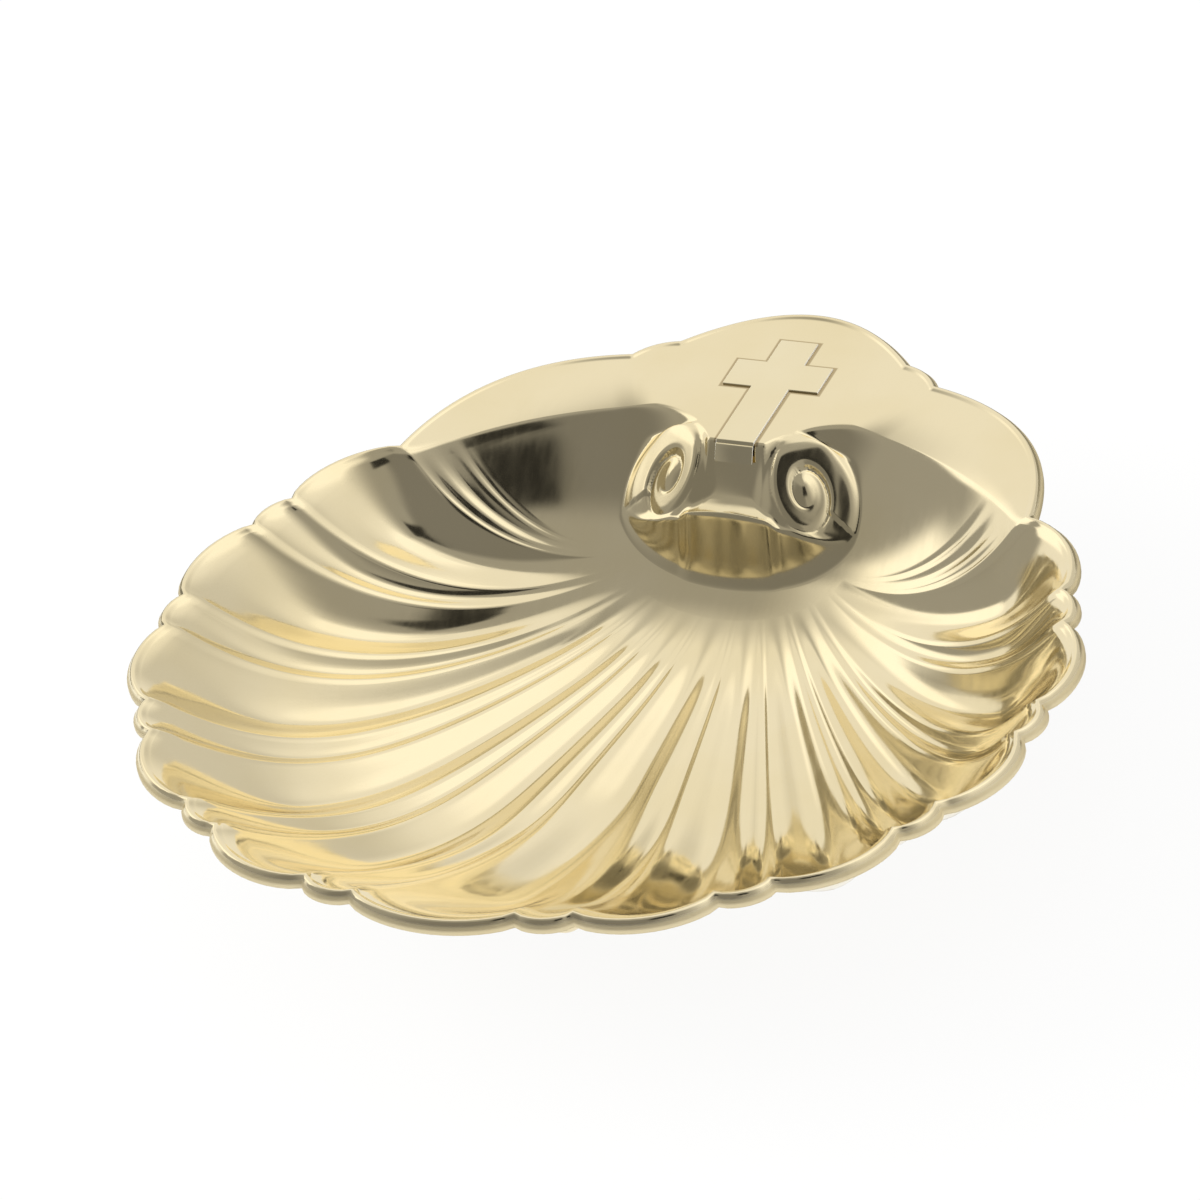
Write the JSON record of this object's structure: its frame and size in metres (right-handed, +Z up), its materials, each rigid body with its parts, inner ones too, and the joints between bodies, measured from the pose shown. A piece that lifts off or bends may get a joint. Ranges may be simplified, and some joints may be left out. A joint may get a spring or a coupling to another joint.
{
  "type": "baptismal shell",
  "caption": "Scallop-shaped dish with a fluted bowl, scrolled hinge, flat flange bearing a plain cross and small ball feet, for pouring water at baptism.",
  "frame": {"origin": "on the table under the middle of the dish's outline", "axes": "+Z up, +Y back towards the flange and cross, +X to the right seen from the front"},
  "size_m": [0.1406, 0.142, 0.031],
  "materials": {
    "shell_brass": "polished pale gold plate",
    "cross_brass": "polished pale gold plate",
    "foot_brass": "turned and polished gold plate"
  },
  "bodies": {
    "root": {"shell_dish": "shell_brass", "cross_plate": "cross_brass", "ball_foot_front": "foot_brass", "ball_foot_left": "foot_brass", "ball_foot_right": "foot_brass"}
  },
  "joints": []
}
